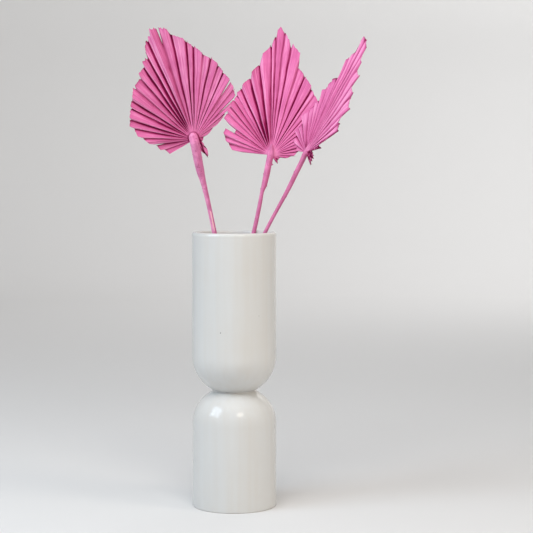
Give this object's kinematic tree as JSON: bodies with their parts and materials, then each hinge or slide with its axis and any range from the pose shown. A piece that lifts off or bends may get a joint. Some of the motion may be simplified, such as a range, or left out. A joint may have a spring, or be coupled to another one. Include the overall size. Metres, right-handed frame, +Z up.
{
  "type": "dried palm leaves in vase",
  "caption": "Waisted off-white stoneware vase, a tall straight body over a domed lower one, holding pleated dried fan palm leaves dyed pink and cut to spear shapes.",
  "frame": {"origin": "centre of the vase's flat foot, on the surface that it stands on", "axes": "+Z up along the vase's axis, +X to the right and -Y towards the viewer of the picture"},
  "size_m": [0.2876, 0.2157, 0.6177],
  "materials": {
    "glaze": "satin",
    "dyed_palm": "matte"
  },
  "bodies": {
    "root": {"vase": "glaze", "palm_leaf_left": "dyed_palm", "palm_leaf_middle": "dyed_palm", "palm_leaf_right": "dyed_palm"}
  },
  "joints": []
}
